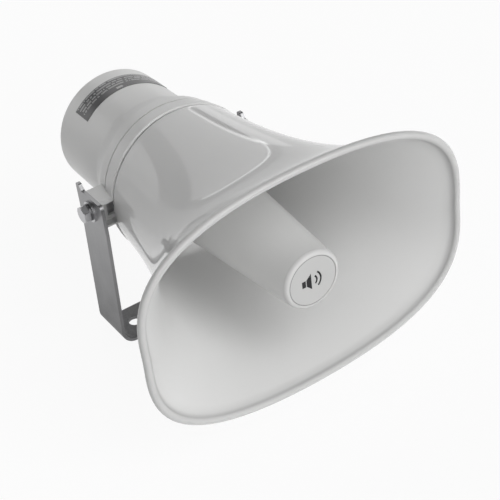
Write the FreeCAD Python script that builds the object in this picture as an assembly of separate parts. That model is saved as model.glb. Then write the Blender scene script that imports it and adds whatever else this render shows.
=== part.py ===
import FreeCAD
import Part
import math
import os

# Reflex horn loudspeaker on a U-bracket, in millimetres. +Z is up and the mouth faces -Y.
# The origin is the middle of the underside of the bracket's base, straight below the tilt axis.

V = FreeCAD.Vector

# Bell
MOUTH_WIDTH = 285.0
MOUTH_HEIGHT = 198.0
FLARE_DEPTH = 176.0
SEAM_R = 67.0
SIDE_GROWTH = 2.376
TOP_GROWTH = 3.99
MOUTH_SIDE_POLE = 0.30
MOUTH_TOP_POLE = 1.09
CIRCLE_POLE = 0.5523
SHAPE_RISE = 1.154
FLARE_WALL = 1.5
BACK_WALL = 2.5
LIP_R = 3.0
LIP_BLEND = 7.0
SEAM_EDGE_R = 2.2
BELL_STATIONS = 7
LIP_STATIONS = 7
EDGE_STATIONS = 4

# Tilt axis and bracket
PIVOT_HEIGHT = 128.0
PIVOT_BEHIND_SEAM = 15.0
STRAP_WIDTH = 40.0
STRAP_THICK = 3.0
BEND_INNER_R = 10.0
ARM_ABOVE_PIVOT = 13.5
ARM_FLAT_BELOW_PIVOT = 14.0
ARM_SPLAY = 4.0
ARM_BEND_R = 20.0
STOP_TAB_RISE = 5.0
STOP_TAB_WIDTH = 8.5
STOP_TAB_SLOPE = 3.0
STOP_TAB_EDGE_R = 2.0
ARM_CORNER_R = 5.0
SIDE_HOLE_R = 6.0
SIDE_HOLE_X = 61.0
CENTRE_HOLE_R = 5.5

# Pivot fasteners, size M8
BOLT_R = 4.0
BOLT_LENGTH = 25.0
BOLT_HEAD_FLATS = 13.0
BOLT_HEAD_THICK = 5.5
NUT_THICK = 6.5
FLAT_WASHER_R = 9.0
FLAT_WASHER_THICK = 1.6
SPRING_WASHER_R = 7.2
SPRING_WASHER_THICK = 2.0
SPRING_WASHER_SPLIT = 1.6
PIVOT_CLEARANCE = 0.08
HOLE_CLEARANCE = 0.1
NUT_CLEARANCE = 0.1

# Rear cover with its collar and ears
GASKET_THICK = 1.5
COVER_DEPTH = 119.5
COVER_FRONT_R = 54.0
COVER_REAR_R = 52.9
COVER_WALL = 3.0
COVER_EDGE_R = 5.0
COLLAR_R = 67.5
COLLAR_EDGE_R = 1.5
BEAD_LENGTH = 15.5
BEAD_REAR_R = 65.0
BEAD_GROOVE_WIDTH = 1.4
BEAD_GROOVE_DEPTH = 1.2
SHOULDER_LENGTH = 28.5
SHOULDER_R = 62.4
SHOULDER_ROUND_R = 14.0
RUNOUT_LENGTH = 48.5
RUNOUT_ROUND_R = 16.0
COLLAR_WALL = 3.5
BOSS_R = 5.0
EAR_HEIGHT = 26.0
EAR_LENGTH = 25.5
EAR_STANDOUT = 9.5
EAR_EDGE_R = 2.5
EAR_FACE_WALL = 8.0
EAR_RECESS_WALL = 3.0
EAR_RECESS_DEPTH = 7.0
BOLT_END_ROOM = 1.0
HOLLOW_STANDOFF = 0.5

# Screws, size M4
SCREW_R = 2.0
SCREW_HEAD_R = 3.6
SCREW_HEAD_THICK = 2.4
SCREW_HEAD_CHAMFER = 0.9
SLOT_LENGTH = 4.4
SLOT_WIDTH = 0.9
SLOT_DEPTH = 1.2
THREAD_CLEARANCE = 0.05
FLARE_SCREW_COUNT = 4
FLARE_SCREW_CIRCLE_R = 60.0
FLARE_SCREW_REACH = 12.0
THROAT_SCREW_COUNT = 3
THROAT_SCREW_CIRCLE_R = 21.0
THROAT_SCREW_REACH = 5.0
DRIVER_SCREW_COUNT = 4
DRIVER_SCREW_CIRCLE_R = 37.0

# Reflector and throat tube
REFLECTOR_TIP_R = 24.3
REFLECTOR_REAR_R = 36.4
REFLECTOR_REAR_GAP = 26.0
REFLECTOR_WALL = 2.0
REFLECTOR_SHOULDER_R = 3.5
BADGE_R = 20.9
BADGE_THICK = 0.8
BADGE_CLEARANCE = 0.1
POST_R = 6.0
POST_LENGTH = 42.0
TUBE_FRONT_R = 17.0
TUBE_THROAT_R = 9.0
TUBE_WALL = 2.0
TUBE_FLANGE_R = 28.0
TUBE_FLANGE_THICK = 3.0
HUB_R = 6.5
HUB_LENGTH = 16.0
SCREW_IN_HUB = 12.8
SCREW_TIP_ROOM = 0.8
VANE_COUNT = 3
VANE_THICK = 2.5
FIN_LENGTH = 60.0
FIN_CLEARANCE = 0.3

# Compression driver
DRIVER_R = 45.0
DRIVER_FACE_THICK = 9.0
DIAPHRAGM_R = 31.0
DIAPHRAGM_SEAT = 1.0
DIAPHRAGM_THICK = 0.8
DOME_R = 18.5
DOME_RISE = 4.4
PLUG_R = 6.5
PLUG_LENGTH = 2.6
PLUG_WEB_THICK = 1.2
COIL_R = 19.3
COIL_THICK = 1.0
COIL_LENGTH = 6.0
GAP_CLEARANCE = 0.6
PLATE_R = 42.0
PLATE_THICK = 6.0
MAGNET_THICK = 18.0
MAGNET_HOLE_R = 27.0
BOARD_WIDTH = 26.0
BOARD_HEIGHT = 11.0
BOARD_THICK = 1.6
BOARD_RISE = 20.0
TAG_WIDTH = 4.0
TAG_THICK = 0.8
TAG_LENGTH = 7.0

# Line transformer at the back of the cover
CORE_WIDTH = 42.0
CORE_THICK = 15.0
CORE_STANDOFF = 10.0
COIL_OVERHANG = 6.0
BOBBIN_WALL = 1.0
BOBBIN_CLEARANCE = 0.3
TRAFO_STRAP_THICK = 1.2
TRAFO_STRAP_WIDTH = 14.0
TRAFO_FOOT = 9.0

# Cable inlet
GROMMET_HOLE_R = 6.0
GROMMET_LIP_R = 9.0
GROMMET_LIP_THICK = 2.5
GROMMET_BORE_R = 3.0
GROMMET_NOSE = 6.0
GROMMET_DROP = 33.0

# Rating label on the cover
LABEL_REAR_GAP = 17.5
LABEL_LENGTH = 21.0
LABEL_SPAN_DEG = 94.0
LABEL_THICK = 0.3

# Planes along the horn axis
SEAM_Y = -PIVOT_BEHIND_SEAM
MOUTH_Y = SEAM_Y - FLARE_DEPTH
COLLAR_Y = SEAM_Y + GASKET_THICK
COVER_BACK_Y = COLLAR_Y + COVER_DEPTH
FACE_BACK_Y = COLLAR_Y + DRIVER_FACE_THICK
MAGNET_Y = FACE_BACK_Y + PLATE_THICK
YOKE_Y = MAGNET_Y + MAGNET_THICK
DRIVER_BACK_Y = YOKE_Y + PLATE_THICK
AXIS_Z = PIVOT_HEIGHT
EAR_X = COLLAR_R + EAR_STANDOUT
BRACKET_WIDTH = 2 * (EAR_X + STRAP_THICK)
REFLECTOR_LENGTH = FLARE_DEPTH - REFLECTOR_REAR_GAP
SIDES = (-1, 1)

# Laminations cut without waste: the limbs and the windows follow from the width
LIMB = CORE_WIDTH / 6
CORE_HEIGHT = 5 * LIMB


def rounded_wire(corners, place):
    """Closed outline through corners (u, v) or (u, v, radius), set in space by place(u, v)."""
    ends = []
    for i, corner in enumerate(corners):
        point = V(corner[0], corner[1], 0)
        radius = corner[2] if len(corner) > 2 else 0
        if radius == 0:
            ends.append((point, None, point))
            continue
        after = corners[(i + 1) % len(corners)]
        back = (V(corners[i - 1][0], corners[i - 1][1], 0) - point).normalize()
        on = (V(after[0], after[1], 0) - point).normalize()
        half = back.getAngle(on) / 2
        inward = (back + on).normalize()
        start = point + back * (radius / math.tan(half))
        end = point + on * (radius / math.tan(half))
        middle = point + inward * (radius / math.sin(half) - radius)
        ends.append((start, middle, end))
    edges = []
    for i, (start, middle, end) in enumerate(ends):
        if middle is not None:
            arc = Part.Arc(place(start.x, start.y), place(middle.x, middle.y), place(end.x, end.y))
            edges.append(arc.toShape())
        following = ends[(i + 1) % len(ends)][0]
        if end.distanceToPoint(following) > 1e-6:
            line = Part.LineSegment(place(end.x, end.y), place(following.x, following.y))
            edges.append(line.toShape())
    return Part.Wire(edges)


def turned(corners, angle=360.0, start=0.0):
    """Solid turned about the horn axis from corners (radius, y) or (radius, y, rounding)."""
    face = Part.Face(rounded_wire(corners, lambda r, y: V(0, y, AXIS_Z + r)))
    solid = face.revolve(V(0, 0, AXIS_Z), V(0, 1, 0), angle)
    solid.rotate(V(0, 0, AXIS_Z), V(0, 1, 0), start)
    return solid


def ring(inner_r, outer_r, y0, y1):
    """Plain ring on the horn axis between two planes."""
    return turned([(inner_r, y0), (outer_r, y0), (outer_r, y1), (inner_r, y1)])


def disc(radius, y0, y1):
    """Plain disc on the horn axis between two planes."""
    return turned([(0, y0), (radius, y0), (radius, y1), (0, y1)])


def rod(radius, y0, y1, x=0.0, z=0.0):
    """Round rod along the horn axis, at x and z from it."""
    return Part.makeCylinder(radius, y1 - y0, V(x, y0, AXIS_Z + z), V(0, 1, 0))


def block(x0, x1, y0, y1, z0, z1):
    """Box between two corners, with z measured from the horn axis."""
    return Part.makeBox(x1 - x0, y1 - y0, z1 - z0, V(x0, y0, AXIS_Z + z0))


def around(count, radius, first=0.0):
    """Places (x, z) spread evenly on a circle about the horn axis."""
    places = []
    for i in range(count):
        turn = math.radians(first + 360.0 * i / count)
        places.append((radius * math.cos(turn), radius * math.sin(turn)))
    return places


def hexagon(flats, x0, x1, first):
    """Hexagonal bar along the tilt axis between two planes, with its first corner at an angle from +Y."""
    corner_r = flats / math.sqrt(3)
    points = []
    for i in range(7):
        turn = math.radians(first + 60 * i)
        points.append(V(x0, corner_r * math.cos(turn), AXIS_Z + corner_r * math.sin(turn)))
    return Part.Face(Part.makePolygon(points)).extrude(V(x1 - x0, 0, 0))


def cross_rod(radius, x0, x1):
    """Round rod along the tilt axis."""
    return Part.makeCylinder(radius, abs(x1 - x0), V(min(x0, x1), 0, AXIS_Z), V(1, 0, 0))


def pan_screw(x, z, seat_y, reach):
    """Pan-head screw along the horn axis. Its head bears on seat_y and its shank runs back from it."""
    top_y = seat_y - SCREW_HEAD_THICK
    head = turned([
        (0, top_y),
        (SCREW_HEAD_R - SCREW_HEAD_CHAMFER, top_y),
        (SCREW_HEAD_R, top_y + SCREW_HEAD_CHAMFER),
        (SCREW_HEAD_R, seat_y),
        (SCREW_R, seat_y),
        (SCREW_R, seat_y + reach),
        (0, seat_y + reach),
    ])
    for half_x, half_z in ((SLOT_LENGTH / 2, SLOT_WIDTH / 2), (SLOT_WIDTH / 2, SLOT_LENGTH / 2)):
        head = head.cut(block(-half_x, half_x, top_y - 1, top_y + SLOT_DEPTH, -half_z, half_z))
    head.translate(V(x, 0, z))
    return head


def growth(rate, share):
    """Exponential opening of the bell, 0 at the seam and 1 at the mouth."""
    return (math.exp(rate * share) - 1) / (math.exp(rate) - 1)


def between(start, end, count):
    """Evenly spread values from start to end."""
    return [start + (end - start) * i / (count - 1) for i in range(count)]


def oval(half_width, half_height, side_pole, top_pole, y):
    """Closed section across the horn axis in four cubic quarters, with poles at shares of its half sizes."""
    quarters = []
    for x_sign, z_sign in ((1, 1), (-1, 1), (-1, -1), (1, -1)):
        x = x_sign * half_width
        z = z_sign * half_height
        poles = [
            V(x, y, AXIS_Z),
            V(x, y, AXIS_Z + z * side_pole),
            V(x * top_pole, y, AXIS_Z + z),
            V(0, y, AXIS_Z + z),
        ]
        if x_sign != z_sign:
            poles.reverse()
        quarter = Part.BezierCurve()
        quarter.setPoles(poles)
        quarters.append(quarter.toShape())
    return Part.Wire(quarters)


def bell_section(y, inset=0.0, plane_y=None):
    """Section of the bell's outer form at y, drawn in by inset. It can be set in another plane."""
    share = (SEAM_Y - y) / FLARE_DEPTH
    half_width = SEAM_R + (MOUTH_WIDTH / 2 - SEAM_R) * growth(SIDE_GROWTH, share) - inset
    half_height = SEAM_R + (MOUTH_HEIGHT / 2 - SEAM_R) * growth(TOP_GROWTH, share) - inset
    blend = share ** SHAPE_RISE
    side_pole = CIRCLE_POLE + (MOUTH_SIDE_POLE - CIRCLE_POLE) * blend
    top_pole = CIRCLE_POLE + (MOUTH_TOP_POLE - CIRCLE_POLE) * blend
    return oval(half_width, half_height, side_pole, top_pole, y if plane_y is None else plane_y)


def bell_skin():
    """Faces of the bell from the rear edge over the outside and the rolled lip to the inner back wall."""
    edge_y = SEAM_Y - SEAM_EDGE_R
    edge = []
    for turn in between(math.pi / 2, 0, EDGE_STATIONS):
        inset = SEAM_EDGE_R * (1 - math.cos(turn))
        edge.append(bell_section(edge_y, inset, edge_y + SEAM_EDGE_R * math.sin(turn)))
    outside = [bell_section(y) for y in between(edge_y, MOUTH_Y + 2 * LIP_R, BELL_STATIONS)]
    lip = [outside[-1]]
    for turn in between(math.pi * 0.9, -math.pi / 2, LIP_STATIONS):
        inset = LIP_R * (1 - math.sin(turn))
        lip.append(bell_section(MOUTH_Y, inset, MOUTH_Y + LIP_R * (1 - math.cos(turn))))
    inside_y = between(MOUTH_Y + LIP_BLEND, SEAM_Y - BACK_WALL, BELL_STATIONS)
    inside = [bell_section(y, FLARE_WALL) for y in inside_y]
    lip.append(inside[0])
    faces = [Part.Face(edge[0]), Part.Face(inside[-1])]
    for sections, straight in ((edge, True), (outside, False), (lip, True), (inside, False)):
        faces.extend(Part.makeLoft(sections, False, straight).Faces)
    return faces


def horn_flare():
    """Bell with a flat back wall, holed for the throat tube and the screws."""
    skin = Part.makeShell(bell_skin())
    skin.sewShape()
    bell = Part.makeSolid(skin)
    wall = (SEAM_Y - 2 * BACK_WALL, SEAM_Y + 1)
    bell = bell.cut(rod(TUBE_THROAT_R + TUBE_WALL + HOLE_CLEARANCE, *wall))
    for x, z in around(FLARE_SCREW_COUNT, FLARE_SCREW_CIRCLE_R, 45):
        bell = bell.cut(rod(SCREW_R + HOLE_CLEARANCE, *wall, x, z))
    for x, z in around(THROAT_SCREW_COUNT, THROAT_SCREW_CIRCLE_R, 30):
        bell = bell.cut(rod(SCREW_R + HOLE_CLEARANCE, *wall, x, z))
    return bell


def reflector_r(y, inset=0.0):
    """Radius of the reflector's cone at y."""
    share = (y - MOUTH_Y) / REFLECTOR_LENGTH
    return REFLECTOR_TIP_R + (REFLECTOR_REAR_R - REFLECTOR_TIP_R) * share - inset


def reflector():
    """Closed cone in the mouth that turns the sound back, open at its rear, with its middle post."""
    front_y = MOUTH_Y
    rear_y = MOUTH_Y + REFLECTOR_LENGTH
    floor_y = front_y + BADGE_THICK + REFLECTOR_WALL
    post_y = front_y + POST_LENGTH
    cone = turned([
        (SCREW_R + HOLE_CLEARANCE, front_y + SCREW_HEAD_THICK + BADGE_THICK),
        (SCREW_HEAD_R + HOLE_CLEARANCE, front_y + SCREW_HEAD_THICK + BADGE_THICK),
        (SCREW_HEAD_R + HOLE_CLEARANCE, front_y + BADGE_THICK),
        (BADGE_R + BADGE_CLEARANCE, front_y + BADGE_THICK),
        (BADGE_R + BADGE_CLEARANCE, front_y),
        (reflector_r(front_y), front_y, REFLECTOR_SHOULDER_R),
        (reflector_r(rear_y), rear_y, REFLECTOR_WALL * 0.4),
        (reflector_r(rear_y, REFLECTOR_WALL), rear_y, REFLECTOR_WALL * 0.4),
        (reflector_r(floor_y, REFLECTOR_WALL), floor_y + REFLECTOR_WALL, REFLECTOR_SHOULDER_R),
        (POST_R + REFLECTOR_WALL, floor_y + REFLECTOR_WALL, REFLECTOR_WALL),
        (POST_R, post_y),
        (SCREW_R + HOLE_CLEARANCE, post_y),
    ])
    return cone


def reflector_badge():
    """Round badge in the recess at the reflector's tip."""
    return turned([
        (0, MOUTH_Y),
        (BADGE_R, MOUTH_Y, BADGE_THICK * 0.4),
        (BADGE_R, MOUTH_Y + BADGE_THICK),
        (0, MOUTH_Y + BADGE_THICK),
    ])


def reflector_screw():
    """Long screw from under the badge through the post into the hub of the throat tube."""
    seat_y = MOUTH_Y + BADGE_THICK + SCREW_HEAD_THICK
    return pan_screw(0, 0, seat_y, MOUTH_Y + POST_LENGTH + SCREW_IN_HUB - seat_y)


def tube_r(y):
    """Bore radius of the throat tube at y."""
    front_y = MOUTH_Y + POST_LENGTH
    share = (SEAM_Y - y) / (SEAM_Y - front_y)
    return TUBE_THROAT_R + (TUBE_FRONT_R - TUBE_THROAT_R) * share ** 1.5


def tube_body():
    """Flaring tube with the flange that lies against the back wall of the bell."""
    front_y = MOUTH_Y + POST_LENGTH
    flange_back_y = SEAM_Y - BACK_WALL
    flange_y = flange_back_y - TUBE_FLANGE_THICK
    stations = [SEAM_Y + (front_y - SEAM_Y) * i / 6 for i in range(7)]
    bore = [V(0, y, AXIS_Z + tube_r(y)) for y in stations]
    skin = [V(0, y, AXIS_Z + tube_r(y) + TUBE_WALL) for y in stations if y < flange_y - 1]
    inner = Part.BSplineCurve()
    inner.interpolate(bore)
    outer = Part.BSplineCurve()
    root = V(0, flange_y, AXIS_Z + tube_r(flange_y) + TUBE_WALL)
    outer.interpolate([root] + skin)
    neck_r = TUBE_THROAT_R + TUBE_WALL
    lines = [Part.makeLine(skin[-1], bore[-1])]
    steps = [
        bore[0],
        V(0, SEAM_Y, AXIS_Z + neck_r),
        V(0, flange_back_y, AXIS_Z + neck_r),
        V(0, flange_back_y, AXIS_Z + TUBE_FLANGE_R),
        V(0, flange_y, AXIS_Z + TUBE_FLANGE_R),
        root,
    ]
    for a, b in zip(steps, steps[1:]):
        lines.append(Part.makeLine(a, b))
    wire = Part.Wire(Part.sortEdges([inner.toShape(), outer.toShape()] + lines)[0])
    return Part.Face(wire).revolve(V(0, 0, AXIS_Z), V(0, 1, 0), 360)


def throat_tube():
    """Tube that carries the sound forward, with vanes to its hub and fins that centre the reflector."""
    front_y = MOUTH_Y + POST_LENGTH
    tube = tube_body()
    hub = disc(HUB_R, front_y, front_y + HUB_LENGTH)
    vanes = []
    fins = []
    rear_y = MOUTH_Y + REFLECTOR_LENGTH - REFLECTOR_WALL
    for i in range(VANE_COUNT):
        vane = block(0, TUBE_FRONT_R + TUBE_WALL / 2, front_y, front_y + HUB_LENGTH, -VANE_THICK / 2, VANE_THICK / 2)
        vane.rotate(V(0, 0, AXIS_Z), V(0, 1, 0), 90 + 360.0 * i / VANE_COUNT)
        vanes.append(vane)
        tip = REFLECTOR_WALL + FIN_CLEARANCE
        fin = rounded_wire([
            (TUBE_THROAT_R + TUBE_WALL, rear_y),
            (reflector_r(rear_y, tip), rear_y),
            (reflector_r(rear_y - FIN_LENGTH, tip), rear_y - FIN_LENGTH),
            (tube_r(rear_y - FIN_LENGTH) + TUBE_WALL / 2, rear_y - FIN_LENGTH),
        ], lambda r, y: V(r, y, AXIS_Z - VANE_THICK / 2))
        fin = Part.Face(fin).extrude(V(0, 0, VANE_THICK))
        fin.rotate(V(0, 0, AXIS_Z), V(0, 1, 0), 90 + 360.0 * i / VANE_COUNT)
        fins.append(fin)
    bore = Part.makeCone(TUBE_THROAT_R, TUBE_FRONT_R + 1, FIN_LENGTH * 3, V(0, SEAM_Y, AXIS_Z), V(0, -1, 0))
    tube = tube.fuse([fin.cut(bore) for fin in fins])
    tube = tube.fuse([hub] + vanes)
    tube = tube.cut(rod(SCREW_R + THREAD_CLEARANCE, front_y - 1, front_y + SCREW_IN_HUB + SCREW_TIP_ROOM))
    for x, z in around(THROAT_SCREW_COUNT, THROAT_SCREW_CIRCLE_R, 30):
        tube = tube.cut(rod(SCREW_R + HOLE_CLEARANCE, SEAM_Y - 4 * BACK_WALL, SEAM_Y, x, z))
    return tube.removeSplitter()


def throat_screws():
    """Screws that hold the throat tube and the driver to the back wall of the bell."""
    seat_y = SEAM_Y - BACK_WALL - TUBE_FLANGE_THICK
    reach = COLLAR_Y + THROAT_SCREW_REACH - seat_y
    return [pan_screw(x, z, seat_y, reach) for x, z in around(THROAT_SCREW_COUNT, THROAT_SCREW_CIRCLE_R, 30)]


def throat_gasket():
    """Soft ring between the bell and the driver's face."""
    gasket = ring(TUBE_THROAT_R + TUBE_WALL, TUBE_FLANGE_R, SEAM_Y, COLLAR_Y)
    for x, z in around(THROAT_SCREW_COUNT, THROAT_SCREW_CIRCLE_R, 30):
        gasket = gasket.cut(rod(SCREW_R + HOLE_CLEARANCE, SEAM_Y, COLLAR_Y, x, z))
    return gasket


def flare_gasket():
    """Soft ring between the bell and the collar of the rear cover."""
    inner_r = COVER_FRONT_R - COVER_WALL
    gasket = ring(inner_r, SEAM_R - SEAM_EDGE_R, SEAM_Y, COLLAR_Y)
    for x, z in around(FLARE_SCREW_COUNT, FLARE_SCREW_CIRCLE_R, 45):
        gasket = gasket.cut(rod(SCREW_R + HOLE_CLEARANCE, SEAM_Y, COLLAR_Y, x, z))
    return gasket


def flare_screws():
    """Screws from inside the bell into the bosses of the collar."""
    seat_y = SEAM_Y - BACK_WALL
    reach = BACK_WALL + GASKET_THICK + FLARE_SCREW_REACH
    return [pan_screw(x, z, seat_y, reach) for x, z in around(FLARE_SCREW_COUNT, FLARE_SCREW_CIRCLE_R, 45)]


def cover_r(y):
    """Outer radius of the cover's barrel at y."""
    share = (y - COLLAR_Y) / COVER_DEPTH
    return COVER_FRONT_R + (COVER_REAR_R - COVER_FRONT_R) * share


def cover_shell():
    """Barrel of the rear cover, closed at the back, with the collar that tapers into it."""
    bead_y = COLLAR_Y + BEAD_LENGTH
    runout_y = COLLAR_Y + RUNOUT_LENGTH
    back_y = COVER_BACK_Y
    return turned([
        (cover_r(COLLAR_Y) - COVER_WALL, COLLAR_Y),
        (COLLAR_R, COLLAR_Y, COLLAR_EDGE_R),
        (BEAD_REAR_R, bead_y, COLLAR_EDGE_R),
        (BEAD_REAR_R - BEAD_GROOVE_DEPTH, bead_y),
        (BEAD_REAR_R - BEAD_GROOVE_DEPTH, bead_y + BEAD_GROOVE_WIDTH),
        (BEAD_REAR_R - BEAD_GROOVE_DEPTH / 2, bead_y + BEAD_GROOVE_WIDTH),
        (SHOULDER_R, COLLAR_Y + SHOULDER_LENGTH, SHOULDER_ROUND_R),
        (cover_r(runout_y), runout_y, RUNOUT_ROUND_R),
        (COVER_REAR_R, back_y, COVER_EDGE_R),
        (0, back_y),
        (0, back_y - COVER_WALL),
        (COVER_REAR_R - COVER_WALL, back_y - COVER_WALL, COVER_EDGE_R - COVER_WALL),
    ])


def collar_hollow():
    """Space that is left out of the collar behind the gasket, between its bosses and ears."""
    inner_r = cover_r(COLLAR_Y) + HOLLOW_STANDOFF
    depth_y = COLLAR_Y + SHOULDER_LENGTH - COLLAR_WALL
    hollow = turned([
        (inner_r, COLLAR_Y - 1),
        (COLLAR_R - COLLAR_WALL, COLLAR_Y - 1),
        (SHOULDER_R - COLLAR_WALL, depth_y),
        (inner_r, depth_y),
    ])
    for x, z in around(FLARE_SCREW_COUNT, FLARE_SCREW_CIRCLE_R, 45):
        hollow = hollow.cut(rod(BOSS_R, COLLAR_Y - 2, depth_y + 1, x, z))
    half = EAR_HEIGHT / 2 + 1
    return hollow.cut(block(-COLLAR_R, COLLAR_R, COLLAR_Y - 2, depth_y + 1, -half, half))


def cover_ear(side):
    """Block that carries the pivot bolt, on one side of the collar."""
    inner_x = COVER_FRONT_R - COVER_WALL / 2
    x0, x1 = sorted((side * inner_x, side * EAR_X))
    ear = block(x0, x1, COLLAR_Y, COLLAR_Y + EAR_LENGTH, -EAR_HEIGHT / 2, EAR_HEIGHT / 2)
    edges = [e for e in ear.Edges if e.BoundBox.XLength > 1]
    return ear.makeFillet(EAR_EDGE_R, edges)


def ear_hollow(side):
    """Recess in the front of an ear, the slot where its nut slides in, and the bore of the pivot bolt."""
    wall_x = EAR_X - EAR_RECESS_WALL
    nut_x1 = EAR_X - EAR_FACE_WALL
    nut_x0 = nut_x1 - NUT_THICK - NUT_CLEARANCE
    half = BOLT_HEAD_FLATS / 2 + NUT_CLEARANCE
    nut_rear_y = BOLT_HEAD_FLATS / math.sqrt(3) + NUT_CLEARANCE
    recess_half = EAR_HEIGHT / 2 - EAR_RECESS_WALL
    x0, x1 = sorted((side * nut_x0, side * wall_x))
    recess = block(x0, x1, COLLAR_Y - 1, COLLAR_Y + EAR_RECESS_DEPTH, -recess_half, recess_half)
    x0, x1 = sorted((side * nut_x0, side * nut_x1))
    slot = block(x0, x1, COLLAR_Y - 1, nut_rear_y, -half, half)
    bolt_end_x = stack_planes()[2] - BOLT_LENGTH - BOLT_END_ROOM
    bore = cross_rod(BOLT_R + HOLE_CLEARANCE, side * bolt_end_x, side * (EAR_X + 1))
    return recess.fuse([slot, bore])


def rear_cover():
    """One moulded piece: barrel, collar with screw bosses, two ears and posts for the transformer."""
    cover = cover_shell().fuse([cover_ear(side) for side in SIDES])
    cover = cover.cut(collar_hollow())
    for x, z in around(FLARE_SCREW_COUNT, FLARE_SCREW_CIRCLE_R, 45):
        cover = cover.cut(rod(SCREW_R + THREAD_CLEARANCE, COLLAR_Y - 1, COLLAR_Y + FLARE_SCREW_REACH, x, z))
    for side in SIDES:
        cover = cover.cut(ear_hollow(side))
    inner_back_y = COVER_BACK_Y - COVER_WALL
    for x in trafo_feet():
        post = rod(BOSS_R, inner_back_y - CORE_STANDOFF, inner_back_y, x)
        cover = cover.fuse(post).cut(rod(SCREW_R + THREAD_CLEARANCE, inner_back_y - CORE_STANDOFF, inner_back_y, x))
    return cover.cut(rod(GROMMET_HOLE_R, inner_back_y - 1, COVER_BACK_Y + 1, 0, -GROMMET_DROP))


def cable_grommet():
    """Rubber bush in the cable hole at the back of the cover, with its bore open."""
    back_y = COVER_BACK_Y
    inner_y = back_y - COVER_WALL
    grommet = turned([
        (GROMMET_BORE_R, inner_y - GROMMET_LIP_THICK),
        (GROMMET_LIP_R, inner_y - GROMMET_LIP_THICK, 0.8),
        (GROMMET_LIP_R, inner_y),
        (GROMMET_HOLE_R, inner_y),
        (GROMMET_HOLE_R, back_y),
        (GROMMET_LIP_R, back_y),
        (GROMMET_LIP_R, back_y + GROMMET_LIP_THICK, 0.8),
        (GROMMET_HOLE_R, back_y + GROMMET_LIP_THICK),
        (GROMMET_BORE_R + 1.5, back_y + GROMMET_NOSE, 0.6),
        (GROMMET_BORE_R, back_y + GROMMET_NOSE),
    ])
    grommet.translate(V(0, 0, -GROMMET_DROP))
    return grommet


def rating_label():
    """Thin label wrapped over the top of the cover's barrel."""
    rear_y = COVER_BACK_Y - LABEL_REAR_GAP
    front_y = rear_y - LABEL_LENGTH
    return turned([
        (cover_r(front_y), front_y),
        (cover_r(front_y) + LABEL_THICK, front_y),
        (cover_r(rear_y) + LABEL_THICK, rear_y),
        (cover_r(rear_y), rear_y),
    ], LABEL_SPAN_DEG, -LABEL_SPAN_DEG / 2)


def driver_face():
    """Cast front of the driver: throat bore, dome cavity and the diaphragm's seat."""
    seat_y = FACE_BACK_Y - DIAPHRAGM_SEAT
    face = turned([
        (TUBE_THROAT_R, COLLAR_Y),
        (DRIVER_R, COLLAR_Y, 1.0),
        (DRIVER_R, FACE_BACK_Y),
        (DIAPHRAGM_R + HOLE_CLEARANCE, FACE_BACK_Y),
        (DIAPHRAGM_R + HOLE_CLEARANCE, seat_y),
        (DOME_R + 4, seat_y),
        (DOME_R, seat_y - DOME_RISE * 0.5),
        (TUBE_THROAT_R, COLLAR_Y + PLUG_LENGTH + 0.6),
    ])
    for x, z in around(THROAT_SCREW_COUNT, THROAT_SCREW_CIRCLE_R, 30):
        face = face.cut(rod(SCREW_R + THREAD_CLEARANCE, COLLAR_Y - 1, COLLAR_Y + THROAT_SCREW_REACH, x, z))
    for x, z in around(DRIVER_SCREW_COUNT, DRIVER_SCREW_CIRCLE_R):
        face = face.cut(rod(SCREW_R + HOLE_CLEARANCE, COLLAR_Y - 1, FACE_BACK_Y + 1, x, z))
        face = face.cut(rod(SCREW_HEAD_R + HOLE_CLEARANCE, COLLAR_Y - 1, COLLAR_Y + SCREW_HEAD_THICK, x, z))
    return face


def driver_screws():
    """Screws that clamp the driver's face to its top plate."""
    seat_y = COLLAR_Y + SCREW_HEAD_THICK
    reach = FACE_BACK_Y + PLATE_THICK - 1 - seat_y
    return [pan_screw(x, z, seat_y, reach) for x, z in around(DRIVER_SCREW_COUNT, DRIVER_SCREW_CIRCLE_R)]


def phase_plug():
    """Small cone in the throat, held by three webs."""
    rear_y = COLLAR_Y + PLUG_LENGTH
    plug = turned([(0, COLLAR_Y + 0.3), (PLUG_R, rear_y), (0, rear_y)])
    for i in range(VANE_COUNT):
        web = block(0, TUBE_THROAT_R - 0.05, COLLAR_Y + 1, rear_y, -PLUG_WEB_THICK / 2, PLUG_WEB_THICK / 2)
        web.rotate(V(0, 0, AXIS_Z), V(0, 1, 0), 90 + 360.0 * i / VANE_COUNT)
        plug = plug.fuse(web)
    return plug.removeSplitter()


def diaphragm():
    """Thin dome with its flat surround."""
    rim_y = FACE_BACK_Y - DIAPHRAGM_SEAT
    sphere_r = (DOME_R ** 2 + DOME_RISE ** 2) / (2 * DOME_RISE)
    centre = V(0, rim_y - DOME_RISE + sphere_r, AXIS_Z)
    cap = Part.makeSphere(sphere_r, centre)
    hollow = Part.makeSphere(sphere_r - DIAPHRAGM_THICK * 0.8, centre)
    dome = cap.cut(hollow).common(disc(DIAPHRAGM_R, rim_y - DOME_RISE - 1, rim_y + DIAPHRAGM_THICK))
    surround = ring(DOME_R - 0.4, DIAPHRAGM_R, rim_y, rim_y + DIAPHRAGM_THICK)
    return dome.common(disc(DOME_R, rim_y - DOME_RISE - 1, rim_y + DIAPHRAGM_THICK)).fuse(surround).removeSplitter()


def voice_coil():
    """Coil that hangs from the diaphragm in the magnet's gap."""
    start_y = FACE_BACK_Y - DIAPHRAGM_SEAT + DIAPHRAGM_THICK
    return ring(COIL_R - COIL_THICK / 2, COIL_R + COIL_THICK / 2, start_y, start_y + COIL_LENGTH)


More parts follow.
